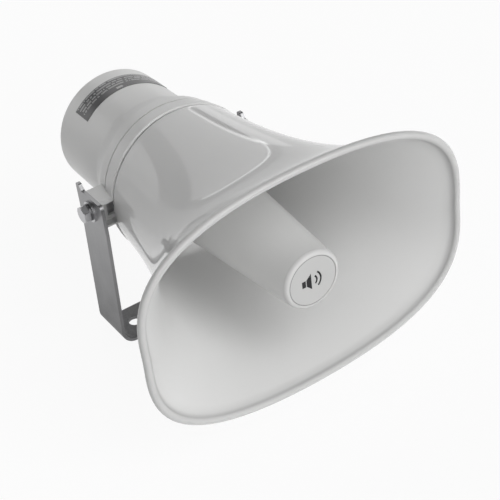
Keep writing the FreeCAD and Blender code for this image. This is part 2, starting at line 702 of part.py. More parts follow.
def top_plate():
    """Steel ring in front of the magnet."""
    plate = ring(COIL_R + COIL_THICK / 2 + GAP_CLEARANCE, PLATE_R, FACE_BACK_Y, MAGNET_Y)
    for x, z in around(DRIVER_SCREW_COUNT, DRIVER_SCREW_CIRCLE_R):
        plate = plate.cut(rod(SCREW_R + THREAD_CLEARANCE, FACE_BACK_Y - 1, MAGNET_Y + 1, x, z))
    return plate


def magnet():
    """Ferrite ring."""
    return ring(MAGNET_HOLE_R, DRIVER_R, MAGNET_Y, YOKE_Y)


def pole_yoke():
    """Steel back plate with the pole that fills the voice coil."""
    pole_r = COIL_R - COIL_THICK / 2 - GAP_CLEARANCE
    return turned([
        (0, FACE_BACK_Y + 0.5),
        (pole_r, FACE_BACK_Y + 0.5, 0.6),
        (pole_r, YOKE_Y),
        (PLATE_R, YOKE_Y),
        (PLATE_R, DRIVER_BACK_Y, 1.0),
        (0, DRIVER_BACK_Y),
    ])


def terminal_board():
    """Insulating board on the back of the driver."""
    half = BOARD_WIDTH / 2
    return block(-half, half, DRIVER_BACK_Y, DRIVER_BACK_Y + BOARD_THICK, BOARD_RISE, BOARD_RISE + BOARD_HEIGHT)


def terminal_tags():
    """Two solder tags that stand on the board."""
    tags = []
    z = BOARD_RISE + BOARD_HEIGHT / 2
    for side in SIDES:
        x = side * BOARD_WIDTH / 4
        foot = block(x - TAG_WIDTH / 2, x + TAG_WIDTH / 2, DRIVER_BACK_Y + BOARD_THICK,
                     DRIVER_BACK_Y + BOARD_THICK + TAG_THICK, z - TAG_WIDTH / 2, z + TAG_WIDTH / 2)
        blade = block(x - TAG_WIDTH / 2, x + TAG_WIDTH / 2, DRIVER_BACK_Y + BOARD_THICK,
                      DRIVER_BACK_Y + BOARD_THICK + TAG_LENGTH, z + TAG_WIDTH / 2 - TAG_THICK, z + TAG_WIDTH / 2)
        tags.append(foot.fuse(blade).removeSplitter())
    return tags


def trafo_planes():
    """Front and back planes of the transformer's core."""
    back_y = COVER_BACK_Y - COVER_WALL - CORE_STANDOFF - TRAFO_STRAP_THICK
    return back_y - CORE_THICK, back_y


def trafo_feet():
    """X of the two transformer screws."""
    x = CORE_WIDTH / 2 + TRAFO_STRAP_THICK + TRAFO_FOOT / 2
    return (-x, x)


def transformer_core():
    """Stack of laminations: outer frame and the middle limb."""
    front_y, back_y = trafo_planes()
    core = block(-CORE_WIDTH / 2, CORE_WIDTH / 2, front_y, back_y, -CORE_HEIGHT / 2, CORE_HEIGHT / 2)
    for side in SIDES:
        x0, x1 = sorted((side * LIMB, side * (CORE_WIDTH / 2 - LIMB)))
        core = core.cut(block(x0, x1, front_y - 1, back_y + 1, -CORE_HEIGHT / 2 + LIMB, CORE_HEIGHT / 2 - LIMB))
    return core


def bobbin_box(grow, height_cut):
    """Box about the middle limb, grown sideways and shortened in height."""
    front_y, back_y = trafo_planes()
    half_x = LIMB + grow
    half_z = CORE_HEIGHT / 2 - LIMB - height_cut
    return block(-half_x, half_x, front_y - grow, back_y + grow, -half_z, half_z)


def transformer_bobbin():
    """Plastic former on the middle limb with a flange at each end."""
    reach = CORE_WIDTH / 2 - 2 * LIMB - BOBBIN_CLEARANCE
    front_y, back_y = trafo_planes()
    hole = bobbin_box(BOBBIN_CLEARANCE, -1)
    body = bobbin_box(BOBBIN_CLEARANCE + BOBBIN_WALL, BOBBIN_CLEARANCE)
    half_x = LIMB + reach
    top = CORE_HEIGHT / 2 - LIMB - BOBBIN_CLEARANCE
    for z0, z1 in ((top - BOBBIN_WALL, top), (-top, -top + BOBBIN_WALL)):
        body = body.fuse(block(-half_x, half_x, front_y - COIL_OVERHANG, back_y + COIL_OVERHANG, z0, z1))
    return body.cut(hole).removeSplitter()


def transformer_winding():
    """Taped winding between the bobbin's flanges."""
    front_y, back_y = trafo_planes()
    wall = BOBBIN_CLEARANCE + BOBBIN_WALL
    half_x = CORE_WIDTH / 2 - LIMB - 2 * BOBBIN_CLEARANCE
    top = CORE_HEIGHT / 2 - LIMB - wall
    depth = COIL_OVERHANG - BOBBIN_WALL
    winding = block(-half_x, half_x, front_y - depth, back_y + depth, -top, top)
    winding = winding.makeFillet(2.5, [e for e in winding.Edges if e.BoundBox.ZLength > 1])
    return winding.cut(bobbin_box(wall, wall - 1))


def transformer_strap():
    """Steel strap over the core with two screwed feet."""
    front_y, back_y = trafo_planes()
    x_in = CORE_WIDTH / 2
    x_out = x_in + TRAFO_STRAP_THICK
    foot_x = x_out + TRAFO_FOOT
    foot_y = back_y + TRAFO_STRAP_THICK
    parts = []
    for side in SIDES:
        x0, x1 = sorted((side * x_in, side * x_out))
        parts.append(block(x0, x1, front_y, foot_y, -TRAFO_STRAP_WIDTH / 2, TRAFO_STRAP_WIDTH / 2))
        x0, x1 = sorted((side * x_in, side * foot_x))
        parts.append(block(x0, x1, back_y, foot_y, -TRAFO_STRAP_WIDTH / 2, TRAFO_STRAP_WIDTH / 2))
        x0, x1 = sorted((side * (x_in - LIMB * 0.6), side * x_out))
        parts.append(block(x0, x1, front_y - TRAFO_STRAP_THICK, front_y, -TRAFO_STRAP_WIDTH / 2, TRAFO_STRAP_WIDTH / 2))
    left = parts[0].fuse(parts[1:3])
    right = parts[3].fuse(parts[4:6])
    straps = []
    for strap, x in zip((left, right), trafo_feet()):
        straps.append(strap.removeSplitter().cut(rod(SCREW_R + HOLE_CLEARANCE, back_y - 1, foot_y + 1, x)))
    return straps


def strap_screws():
    """Screws through the strap's feet into the posts of the cover."""
    seat_y = trafo_planes()[1]
    reach = TRAFO_STRAP_THICK + CORE_STANDOFF - 1
    return [pan_screw(x, 0, seat_y, reach) for x in trafo_feet()]


def arm_outline():
    """Side view of an arm: straight edges and an end that rises in a small stop tab at the rear."""
    half = STRAP_WIDTH / 2
    top = AXIS_Z + ARM_ABOVE_PIVOT
    tab = top + STOP_TAB_RISE
    tab_front = half - STOP_TAB_WIDTH
    return rounded_wire([
        (-half, -1),
        (half, -1),
        (half, tab, STOP_TAB_EDGE_R),
        (tab_front + STOP_TAB_SLOPE, tab, STOP_TAB_EDGE_R),
        (tab_front, top, STOP_TAB_EDGE_R),
        (-half, top, ARM_CORNER_R),
    ], lambda y, z: V(-BRACKET_WIDTH, y, z))


def u_bracket():
    """Folded steel strap: base with three holes and two arms with the pivot holes."""
    outer = BRACKET_WIDTH / 2
    inner = outer - STRAP_THICK
    top = AXIS_Z + ARM_ABOVE_PIVOT + STOP_TAB_RISE + 1
    flat_z = AXIS_Z - ARM_FLAT_BELOW_PIVOT
    bend = BEND_INNER_R + STRAP_THICK
    profile = rounded_wire([
        (-outer, top),
        (-outer, flat_z, ARM_BEND_R),
        (-outer - ARM_SPLAY, 0, bend),
        (outer + ARM_SPLAY, 0, bend),
        (outer, flat_z, ARM_BEND_R),
        (outer, top),
        (inner, top),
        (inner, flat_z, ARM_BEND_R + STRAP_THICK),
        (inner + ARM_SPLAY, STRAP_THICK, BEND_INNER_R),
        (-inner - ARM_SPLAY, STRAP_THICK, BEND_INNER_R),
        (-inner, flat_z, ARM_BEND_R + STRAP_THICK),
        (-inner, top),
    ], lambda x, z: V(x, -STRAP_WIDTH / 2, z))
    strap = Part.Face(profile).extrude(V(0, STRAP_WIDTH, 0))
    strap = strap.common(Part.Face(arm_outline()).extrude(V(2 * BRACKET_WIDTH, 0, 0)))
    strap = strap.cut(cross_rod(BOLT_R + PIVOT_CLEARANCE, -outer - 1, outer + 1))
    holes = [(CENTRE_HOLE_R, 0), (SIDE_HOLE_R, -SIDE_HOLE_X), (SIDE_HOLE_R, SIDE_HOLE_X)]
    for radius, x in holes:
        strap = strap.cut(Part.makeCylinder(radius, 2 * STRAP_THICK, V(x, 0, -1)))
    return strap


def stack_planes():
    """X of the planes between arm, flat washer, spring washer, bolt head and its end."""
    arm = BRACKET_WIDTH / 2
    flat = arm + FLAT_WASHER_THICK
    spring = flat + SPRING_WASHER_THICK
    return arm, flat, spring, spring + BOLT_HEAD_THICK


def pivot_bolts():
    """Hexagon bolts through the arms into the nuts of the ears."""
    seat, head = stack_planes()[2:]
    bolts = []
    for side in SIDES:
        hexagon_head = hexagon(BOLT_HEAD_FLATS, side * seat, side * head, 30)
        crown = Part.makeCone(BOLT_HEAD_FLATS / 2 + BOLT_HEAD_THICK * 1.7 + 0.3, BOLT_HEAD_FLATS / 2 - 0.2,
                              BOLT_HEAD_THICK, V(side * seat, 0, AXIS_Z), V(side, 0, 0))
        shank = cross_rod(BOLT_R, side * seat, side * (seat - BOLT_LENGTH))
        bolts.append(hexagon_head.common(crown).fuse(shank).removeSplitter())
    return bolts


def spring_washers():
    """Split washers under the bolt heads."""
    flat, spring = stack_planes()[1:3]
    washers = []
    for side in SIDES:
        washer = cross_rod(SPRING_WASHER_R, side * flat, side * spring)
        washer = washer.cut(cross_rod(BOLT_R + HOLE_CLEARANCE, side * flat, side * spring))
        half = SPRING_WASHER_SPLIT / 2
        x0, x1 = sorted((side * flat, side * spring))
        washers.append(washer.cut(block(x0, x1, -half, half, 0, SPRING_WASHER_R + 1)))
    return washers


def flat_washers():
    """Flat washers against the outside of the arms."""
    arm, flat = stack_planes()[:2]
    washers = []
    for side in SIDES:
        washer = cross_rod(FLAT_WASHER_R, side * arm, side * flat)
        washers.append(washer.cut(cross_rod(BOLT_R + HOLE_CLEARANCE, side * arm, side * flat)))
    return washers


def ear_nuts():
    """Captive nuts in the pockets of the ears."""
    end = EAR_X - EAR_FACE_WALL
    nuts = []
    for side in SIDES:
        nut = hexagon(BOLT_HEAD_FLATS, side * (end - NUT_THICK), side * end, 0)
        nuts.append(nut.cut(cross_rod(BOLT_R + THREAD_CLEARANCE, side * (end - NUT_THICK), side * end)))
    return nuts


PIECES = (
    horn_flare, reflector, reflector_badge, reflector_screw, throat_tube, throat_screws, throat_gasket,
    flare_gasket, flare_screws, rear_cover, cable_grommet, rating_label, driver_face, driver_screws,
    phase_plug, diaphragm, voice_coil, top_plate, magnet, pole_yoke, terminal_board, terminal_tags,
    transformer_core, transformer_bobbin, transformer_winding, transformer_strap, strap_screws,
    u_bracket, pivot_bolts, spring_washers, flat_washers, ear_nuts,
)

os.makedirs("parts", exist_ok=True)
for piece in PIECES:
    made = piece()
    shape = Part.makeCompound(made) if isinstance(made, list) else made
    shape.exportStep("parts/" + piece.__name__ + ".step")
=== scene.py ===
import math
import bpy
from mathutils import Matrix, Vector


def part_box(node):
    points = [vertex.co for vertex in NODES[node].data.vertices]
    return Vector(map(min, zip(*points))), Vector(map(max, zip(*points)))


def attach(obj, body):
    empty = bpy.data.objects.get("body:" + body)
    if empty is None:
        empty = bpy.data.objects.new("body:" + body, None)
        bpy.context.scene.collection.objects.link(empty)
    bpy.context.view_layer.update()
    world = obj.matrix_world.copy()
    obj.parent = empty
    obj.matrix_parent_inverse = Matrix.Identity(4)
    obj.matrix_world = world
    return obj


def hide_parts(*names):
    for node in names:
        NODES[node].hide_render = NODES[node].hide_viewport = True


bl_info = {
    "name": "Reflex Horn Loudspeaker",
    "version": (1, 0, 0),
    "blender": (4, 5, 0),
    "location": "View3D > Sidebar > Horn",
    "description": "Dresses the packed reflex horn with its enamel, plastics, metals, badge and label",
    "category": "Add Mesh",
}

import bpy
from mathutils import Matrix, Vector

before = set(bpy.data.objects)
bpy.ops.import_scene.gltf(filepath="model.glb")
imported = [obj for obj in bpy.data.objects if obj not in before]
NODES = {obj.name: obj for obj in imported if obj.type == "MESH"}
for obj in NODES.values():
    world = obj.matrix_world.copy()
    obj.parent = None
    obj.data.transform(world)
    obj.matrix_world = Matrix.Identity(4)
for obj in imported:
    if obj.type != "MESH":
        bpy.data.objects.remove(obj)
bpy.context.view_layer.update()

BELL_LOW, BELL_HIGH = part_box("horn_flare")
BADGE_LOW, BADGE_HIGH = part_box("reflector_badge")
LABEL_LOW, LABEL_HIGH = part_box("rating_label")
MOUTH_Y = BELL_LOW.y
SEAM_Y = BELL_HIGH.y
AXIS_Z = (BADGE_LOW.z + BADGE_HIGH.z) / 2

TO_MM = 1000.0
MM = 1 / TO_MM
TO_DEGREES = 180 / math.pi

# Pole distance, as a share of the radius, of a cubic that follows a quarter of a circle.
CIRCLE_POLE = 0.5523

# Rings drawn round the rounded edges of the bell, and the turn at which its lip leaves the outside.
EDGE_RINGS = 7
LIP_RINGS = 15
CORNER_RINGS = 8
LIP_START = math.pi * 0.9
SHARP_ANGLE = math.radians(35)

# Tones of single places and pieces, as shares of the colour that they take. The darker tones of the lip, the
# reflector's front end, the badge, the ring round the badge's edge, the lower arms and the spring washers
# are painted shade.
LIP_SHADE_TONE = 0.80
REFLECTOR_END_SHADE_TONE = 0.8
BADGE_SHADE_TONE = 0.68
BADGE_GROOVE_SHADE_TONE = 0.3
TUBE_TONE = 0.92
COVER_TONE = 0.95
LOW_SHADE_TONE = 0.38
SPRING_WASHER_SHADE_TONE = 0.4
SCREW_TONE = 0.9

# Reach of the painted shade in millimetres: from the mouth plane on the lip and on the reflector's end, in
# from the badge's edge, and up the arms.
LIP_SHADE_DEPTH = 4.0
REFLECTOR_END_SHADE_DEPTH = 3.0
BADGE_GROOVE_SHADE = 0.7
LOW_SHADE_HEIGHT = 110.0

# Squeeze that draws a noise out into lines.
LINE_STRETCH = 0.02

# Sound sign on the badge, on a grid whose zero is the middle of the waves: a box, a cone and the waves.
SIGN_GRID = 19.0
SIGN_SHIFT = 1.2
SIGN_REACH = 12
BOX_SPAN = (-8.6, -5.2)
BOX_HALF_HEIGHT = 2.9
CONE_SPAN = (-4.6, -0.2)
CONE_SLOPE = 0.95
WAVE_RADII = (4.6, 8.2)
WAVE_HALF_WIDTH = 0.75
WAVE_SLOPE = 1.15

# Print on the label: rows of small blocks with gaps, a plate in the front band and a line along the rear.
# Turns are in degrees about the horn's axis, from straight up.
PRINT_ROWS = 4
PRINT_HALF_TURN = 44.0
ROW_MARGIN = 0.15
ROW_HALF_FILL = 0.27
BLOCK_START = -60.0
BLOCK_PITCH = 1.15
BLOCK_FILL = 0.72
BLOCK_SCATTER = (12.99, 78.23, 437.6)
GAP_CHANCE = 0.22
PLATE_TURN = -3.0
PLATE_HALF_TURN = 3.2
PLATE_HALF_SHARE = 0.22
LINE_INSET = 0.9
LINE_HALF_WIDTH = 0.25
LINE_HALF_TURN = 45.0

# Camera: direction and roll in degrees, place and reach in metres, lens and sensor in millimetres.
CAMERA_AZIMUTH = -30.06
CAMERA_ELEVATION = 36.59
CAMERA_ROLL = -7.26
CAMERA_PLACE = (-0.4124, -0.8186, 0.7192)
CAMERA_LENS = 94.8
CAMERA_SENSOR = 36.0
CAMERA_REACH = 50.0

# Lit parts of the studio, seen from the horn: their left and right bearing from straight behind it, their
# lowest and highest angle over the floor, all in degrees, and their strength. Those that stand on the floor
# go on a little below the horizon.
UNDER_FLOOR = -8
STUDIO_PARTS = (
    ("front box", 140, 180, UNDER_FLOOR, 30, 4.35),
    ("front box top", 140, 180, 30, 65, 3.7),
    ("left box", -180, -140, UNDER_FLOOR, 30, 2.3),
    ("left box top", -180, -140, 30, 65, 0.7),
    ("back wall", 2, 34, 12, 65, 1.3),
    ("back wall in shade", -17, 2, 12, 65, 0.5),
    ("wall edge", 33.5, 34.7, 9, 22, 2.6),
    ("wall foot", 8, 33.5, 10.3, 11.5, 2.2),
    ("side wall", -45, -17, 12, 30, 1.7),
    ("side table", -45, -17, UNDER_FLOOR, 12, 1.3),
    ("left table", -90, -45, UNDER_FLOOR, 12, 0.85),
    ("back table", -17, 34, UNDER_FLOOR, 12, 0.60),
    ("right table", 34, 95, UNDER_FLOOR, 12, 1.5),
)

# Softness of the parts' edges in degrees, light between them, and top of the white horizon in degrees.
EDGE_SOFTNESS = 0.8
ROOM_LEVEL = 0.08
HORIZON_TOP = 6

# Half the floor's side in metres, and how much of it the camera sees as white.
FLOOR_HALF = 40.0
FLOOR_WHITENESS = 0.92


def length(name, default, description):
    """Size in millimetres that a user can change."""
    return bpy.props.FloatProperty(name=name, description=description, default=default * MM, min=0.0,
                                   subtype="DISTANCE", unit="LENGTH", precision=4)


def share(name, default, description):
    """Plain number without a unit."""
    return bpy.props.FloatProperty(name=name, description=description, default=default, min=0.0)


def paint(name, default, description):
    """Colour in linear light."""
    return bpy.props.FloatVectorProperty(name=name, description=description, default=default, size=3,
                                         min=0.0, max=1.0, subtype="COLOR")


class HornSizes(bpy.types.PropertyGroup):
    """Sizes of the bell that is drawn here and of the printed marks."""

    mouth_width: length("Mouth width", 284.8, "Width between the middles of the mouth's sides")
    mouth_height: length("Mouth height", 197.8, "Height between the middles of its top and underside")
    seam_radius: length("Seam radius", 67.0, "Radius of the bell where it meets the collar")
    side_growth: share("Side growth", 2.376, "How late the sides of the bell open")
    top_growth: share("Top growth", 3.99, "How late the top and the underside of the bell open")
    shape_rise: share("Shape rise", 1.154, "How late the round section turns into that of the mouth")
    side_pole: share("Side pole", 0.30, "How soon the mouth's outline leaves its sides")
    top_pole: share("Top pole", 1.09, "How long the mouth's outline follows its top")
    wall: length("Bell wall", 1.5, "Thickness of the bell")
    back_wall: length("Back wall", 2.5, "Thickness of the bell's flat back")
    lip_radius: length("Lip radius", 3.0, "Radius of the bead rolled round the mouth")
    lip_blend: length("Lip blend", 7.0, "Depth at which the bead has run into the inside")
    seam_edge: length("Seam edge", 2.2, "Rounding of the bell's rear edge")
    inner_corner: length("Inner corner", 9.0, "Rounding between the bell's inside and its flat back")
    back_hole: length("Back hole", 11.1, "Radius of the hole for the throat tube")
    stations: bpy.props.IntProperty(name="Stations", description="Rings along the bell", default=44, min=8)
    quarter_points: bpy.props.IntProperty(name="Quarter points", description="Points in a quarter ring",
                                          default=26, min=6)
    sign_width: length("Sign width", 19.0, "Width of the printed sound sign on the badge")
    label_front_band: length("Label band", 7.0, "Plain band along the front edge of the label")


class HornPaints(bpy.types.PropertyGroup):
    """Colours of the pieces and of the floor."""

    enamel: paint("Enamel", (0.585, 0.585, 0.581), "Off-white enamel of the bell")
    plastic: paint("Plastic", (0.64, 0.64, 0.635), "Reflector, badge and rear cover")
    steel: paint("Steel", (0.28, 0.28, 0.285), "Bracket")
    bright: paint("Bright metal", (0.50, 0.50, 0.51), "Bolts, washers and screws")
    rubber: paint("Rubber", (0.022, 0.022, 0.023), "Cable bush and gaskets")
    badge_ink: paint("Badge ink", (0.012, 0.012, 0.013), "Printed sign on the badge")
    label_ground: paint("Label ground", (0.035, 0.035, 0.037), "Foil of the label")
    label_ink: paint("Label ink", (0.36, 0.36, 0.36), "Plain printed blocks on the label")
    cast_alloy: paint("Cast alloy", (0.42, 0.42, 0.42), "Face of the driver")
    plug: paint("Plug", (0.02, 0.02, 0.022), "Phase plug")
    film: paint("Film", (0.24, 0.12, 0.045), "Diaphragm")
    copper: paint("Copper", (0.55, 0.22, 0.09), "Voice coil")
    yoke_steel: paint("Yoke steel", (0.48, 0.48, 0.47), "Top plate and pole yoke")
    ferrite: paint("Ferrite", (0.035, 0.035, 0.037), "Ring magnet")
    board: paint("Board", (0.20, 0.09, 0.035), "Terminal board")
    tinned_brass: paint("Tinned brass", (0.62, 0.58, 0.46), "Terminal tags")
    core: paint("Core", (0.12, 0.12, 0.125), "Laminations of the transformer")
    bobbin: paint("Bobbin", (0.03, 0.03, 0.032), "Bobbin of the transformer")
    tape: paint("Tape", (0.42, 0.27, 0.02), "Winding of the transformer")
    strap: paint("Strap", (0.46, 0.46, 0.46), "Strap of the transformer")
    floor: paint("Floor", (0.86, 0.86, 0.86), "Floor under the loudspeaker")


def colour_of(context, name):
    """Chosen colour as a plain tuple."""
    return tuple(getattr(context.scene.horn_paints, name))


def toned(color, tone):
    """Colour made darker or lighter: each part times the tone, at most 1."""
    return tuple(min(1.0, part * tone) for part in color)


class Field:
    """A number that varies over a surface. Arithmetic on it adds Math nodes."""

    def __init__(self, owner, socket):
        self.owner = owner
        self.socket = socket

    def math(self, operation, *values):
        """Field that a Math node makes of this one and of other fields or numbers."""
        return self.owner.math(operation, self, *values)

    def __add__(self, other):
        return self.math("ADD", other)

    def __radd__(self, other):
        return self.math("ADD", other)

    def __sub__(self, other):
        return self.math("SUBTRACT", other)

    def __rsub__(self, other):
        return self.owner.math("SUBTRACT", other, self)

    def __mul__(self, other):
        return self.math("MULTIPLY", other)

    def __rmul__(self, other):
        return self.math("MULTIPLY", other)

    def __truediv__(self, other):
        return self.math("DIVIDE", other)

    def __mod__(self, other):
        return self.math("FLOORED_MODULO", other)

    def __gt__(self, other):
        return self.math("GREATER_THAN", other)

    def __lt__(self, other):
        return self.math("LESS_THAN", other)

    def __abs__(self):
        return self.math("ABSOLUTE")

    def either(self, other):
        """The larger of two, which joins masks."""
        return self.math("MAXIMUM", other)

    def limited(self):
        """Held between 0 and 1."""
        return self.either(0.0).math("MINIMUM", 1.0)

    def between(self, low, high):
        """1 between two limits and 0 outside them."""
        return (self > low) * (self < high)

    def above(self, limit, softness):
        """1 above a limit and 0 below it, with a soft edge."""
        return ((self - limit) / softness + 0.5).limited()

    def below(self, limit, softness):
        """1 below a limit and 0 above it, with a soft edge."""
        return ((limit - self) / softness + 0.5).limited()

    def within(self, low, high, softness):
        """1 between two limits and 0 outside them, with soft edges."""
        return self.above(low, softness) * self.below(high, softness)


def distance(across, up):
    """Distance from the point at which both offsets are 0."""
    return (across * across + up * up).math("SQRT")


class Tree:
    """Node tree of a material or of the world, and the ways to add to it."""

    def __init__(self, block):
        block.use_nodes = True
        self.tree = block.node_tree
        self.tree.nodes.clear()

    def node(self, kind, settings, inputs):
        """Adds a node: its settings first, then the values or links of its sockets."""
        made = self.tree.nodes.new(kind)
        for key, value in settings.items():
            setattr(made, key, value)
        for key, value in inputs.items():
            source = value.socket if isinstance(value, Field) else value
            if isinstance(source, bpy.types.NodeSocket):
                self.tree.links.new(source, made.inputs[key])
            else:
                made.inputs[key].default_value = source
        return made

    def math(self, operation, *values):
        """Field that a Math node makes of fields or numbers."""
        made = self.node("ShaderNodeMath", {"operation": operation}, dict(enumerate(values)))
        return Field(self, made.outputs[0])

    def coordinates(self, kind):
        """Vector socket of the texture coordinates."""
        return self.node("ShaderNodeTexCoord", {}, {}).outputs[kind]

    def split(self, vector):
        """The three numbers of a vector socket."""
        return [Field(self, part) for part in self.node("ShaderNodeSeparateXYZ", {}, {0: vector}).outputs]


class Finish(Tree):
    """One material: its shader, and the patterns that vary it."""

    def __init__(self, name, color, roughness, constants=None):
        self.material = bpy.data.materials.new(name)
        super().__init__(self.material)
        self.shader = self.node("ShaderNodeBsdfPrincipled", {}, {
            "Base Color": (*color, 1.0),
            "Roughness": roughness,
            **(constants or {}),
        })
        self.output = self.node("ShaderNodeOutputMaterial", {}, {"Surface": self.shader.outputs[0]})
        self.color = color
        self.material.diffuse_color = (*color, 1.0)

    def place(self):
        """Point in the part's frame, in metres, as a vector socket. It moves with the piece."""
        return self.coordinates("Object")

    def facing(self):
        """Direction that the surface faces, as three fields."""
        return self.split(self.coordinates("Normal"))

    def millimetres(self):
        """Distances in millimetres across, from the mouth plane, and up from the horn's axis."""
        x, y, z = self.split(self.place())
        return x * TO_MM, (y - MOUTH_Y) * TO_MM, (z - AXIS_Z) * TO_MM

    def noise(self, scale, stretch=(1, 1, 1), detail=3.0, rough=0.5):
        """Soft noise from 0 to 1, with scale in cycles per metre."""
        mapped = self.node("ShaderNodeMapping", {"vector_type": "POINT"}, {
            "Vector": self.place(), "Scale": stretch})
        made = self.node("ShaderNodeTexNoise", {"noise_dimensions": "3D"}, {
            "Vector": mapped.outputs[0], "Scale": scale, "Detail": detail, "Roughness": rough})
        return Field(self, made.outputs[0])

    def cells(self, scale):
        """Distance to the nearest cell centre, for pores."""
        made = self.node("ShaderNodeTexVoronoi", {}, {"Vector": self.place(), "Scale": scale})
        return Field(self, made.outputs["Distance"])

    def mix(self, factor, first, second):
        """Colour between two colours. A Mix node has them at its inputs 6 and 7 and at its output 2."""
        inputs = {0: factor}
        for key, value in ((6, first), (7, second)):
            inputs[key] = (*value, 1.0) if isinstance(value, tuple) else value
        return self.node("ShaderNodeMix", {"data_type": "RGBA"}, inputs).outputs[2]

    def tones(self, field, low, high):
        """Colour that runs between two tones of the finish with a field."""
        return self.mix(field, toned(self.color, low), toned(self.color, high))

    def shade(self, field, amount):
        """Varies the base colour by a small share, up and down, with a field."""
        self.link("Base Color", self.tones(field, 1 - amount, 1 + amount))

    def link(self, name, value):
        """Feeds a socket of the shader."""
        source = value.socket if isinstance(value, Field) else value
        self.tree.links.new(source, self.shader.inputs[name])

    def bump(self, height, depth, strength):
        """Relief with its depth in millimetres."""
        made = self.node("ShaderNodeBump", {}, {
            "Strength": strength, "Distance": depth * MM, "Height": height})
        self.link("Normal", made.outputs[0])


def enamel_finish(name, color):
    """Stoved enamel with faint orange peel: glossy outside, satin inside, and its lip darkened with painted
    shade.
    """
    finish = Finish(name, color, 0.30, {"Specular IOR Level": 0.06, "Coat Weight": 1.0, "Coat IOR": 1.32,
                                        "Coat Roughness": 0.025})
    peel = finish.noise(330, detail=2.0)
    clouds = finish.noise(9, detail=4.0)
    dust_and_shade = finish.noise(1400, detail=2.0)
    x, along, z = finish.millimetres()
    facing_x, _, facing_z = finish.facing()
    inside = facing_x * x + facing_z * z < 0.0
    # Painted shade: the lip is darkened near the mouth plane, and its roughness rises with the same mask.
    lip_shade = along.below(LIP_SHADE_DEPTH, softness=3.0) * (0.75 + 0.5 * clouds)
    fresh = finish.tones(clouds, 0.975, 1.025)
    finish.link("Base Color", finish.mix(lip_shade, fresh, toned(color, LIP_SHADE_TONE)))
    finish.link("Roughness", 0.27 + 0.06 * clouds + 0.03 * dust_and_shade + 0.05 * lip_shade + 0.10 * inside)
    finish.link("Coat Weight", 1.0 - 0.85 * inside)
    finish.bump(peel, depth=0.06, strength=0.35)
    return finish.material


def moulded_finish(name, color, roughness, grain=2600, depth=0.03, coat=0.0, end_shade_tone=1.0):
    """Moulded plastic with a fine spark-eroded grain, faint flow marks and, if asked, a front end darkened
    with painted shade.
    """
    finish = Finish(name, color, roughness, {
        "Specular IOR Level": 0.25, "Coat Weight": coat, "Coat Roughness": 0.12})
    flow = finish.noise(14, stretch=(1, 0.35, 1))
    speck = finish.noise(grain, detail=2.0)
    plain = finish.tones(flow, 0.98, 1.02)
    # Painted shade: the front end near the mouth plane is darkened.
    if end_shade_tone < 1.0:
        _, along, _ = finish.millimetres()
        plain = finish.mix(along.below(REFLECTOR_END_SHADE_DEPTH, softness=2.5), plain, toned(color, end_shade_tone))
    finish.link("Base Color", plain)
    finish.link("Roughness", roughness - 0.04 + 0.05 * flow + 0.04 * speck)
    finish.bump(speck, depth, strength=0.5)
    return finish.material


def bracket_finish(name, color):
    """Satin steel strip: rolling lines up the arms, a fine mottle and painted shade that deepens towards the
    base.
    """
    finish = Finish(name, color, 0.42, {"Metallic": 1.0})
    _, _, up = finish.millimetres()
    lines = finish.noise(900, stretch=(1, 1, LINE_STRETCH), detail=2.0)
    mottle = finish.noise(620, rough=0.7)
    film = finish.noise(26, detail=4.0, rough=0.6)
    # Painted shade: the steel is darkened towards the base of the arms, and its roughness rises with the
    # same mask.
    height = ((up + AXIS_Z * TO_MM) / LOW_SHADE_HEIGHT).limited()
    dust_and_shade = (1.0 - height) * (0.6 + 0.8 * film)
    rolled = lines * 0.5 + mottle * 0.5
    clean = finish.tones(rolled, 0.86, 1.16)
    finish.link("Base Color", finish.mix(dust_and_shade * (0.35 + 0.65 * mottle), clean, toned(color, LOW_SHADE_TONE)))
    finish.link("Roughness", 0.32 + 0.12 * film + 0.12 * dust_and_shade)
    finish.bump(rolled, depth=0.03, strength=0.5)
    return finish.material


def brushed_finish(name, color, roughness, axis, scratches=1800, depth=0.02):
    """Satin metal with fine lines along one axis and a duller film in patches."""
    stretch = tuple(LINE_STRETCH if letter == axis else 1.0 for letter in "XYZ")
    finish = Finish(name, color, roughness, {"Metallic": 1.0})
    lines = finish.noise(scratches, stretch=stretch, detail=2.0)
    film = finish.noise(30, detail=4.0, rough=0.6)
    finish.shade(lines * 0.5 + film * 0.5, 0.10)
    finish.link("Roughness", roughness - 0.08 + 0.12 * film + 0.08 * lines)
    finish.bump(lines, depth, strength=0.5)
    return finish.material


def plated_finish(name, color, roughness):
    """Zinc or stainless small parts: bright, with tumbling marks and duller spots."""
    finish = Finish(name, color, roughness, {"Metallic": 1.0})
    marks = finish.noise(900)
    spots = finish.noise(140, detail=2.0)
    finish.shade(marks, 0.09)
    finish.link("Roughness", roughness - 0.05 + 0.10 * spots + 0.05 * marks)
    finish.bump(marks, depth=0.02, strength=0.4)
    return finish.material


def rubber_finish(name, color):
    """Soft black rubber with a matt bloom."""
    finish = Finish(name, color, 0.72)
    bloom = finish.noise(60, detail=4.0)
    finish.shade(bloom, 0.25)
    finish.link("Roughness", 0.66 + 0.14 * bloom)
    finish.bump(finish.cells(1600), depth=0.04, strength=0.5)
    return finish.material


def layered_finish(name, color, pitch, axis, roughness, metallic=0.0):
    """Layers along one axis, with their pitch in millimetres: laminations, or turns of wire or tape."""
    finish = Finish(name, color, roughness, {"Metallic": metallic})
    offset = dict(zip("XYZ", finish.millimetres()))[axis]
    edge = abs((offset / pitch) % 1.0 - 0.5) * 2
    wear = finish.noise(90)
    finish.shade(edge * 0.6 + wear * 0.4, 0.16)
    finish.link("Roughness", roughness - 0.05 + 0.10 * wear)
    finish.bump(edge, depth=0.05, strength=0.6)
    return finish.material


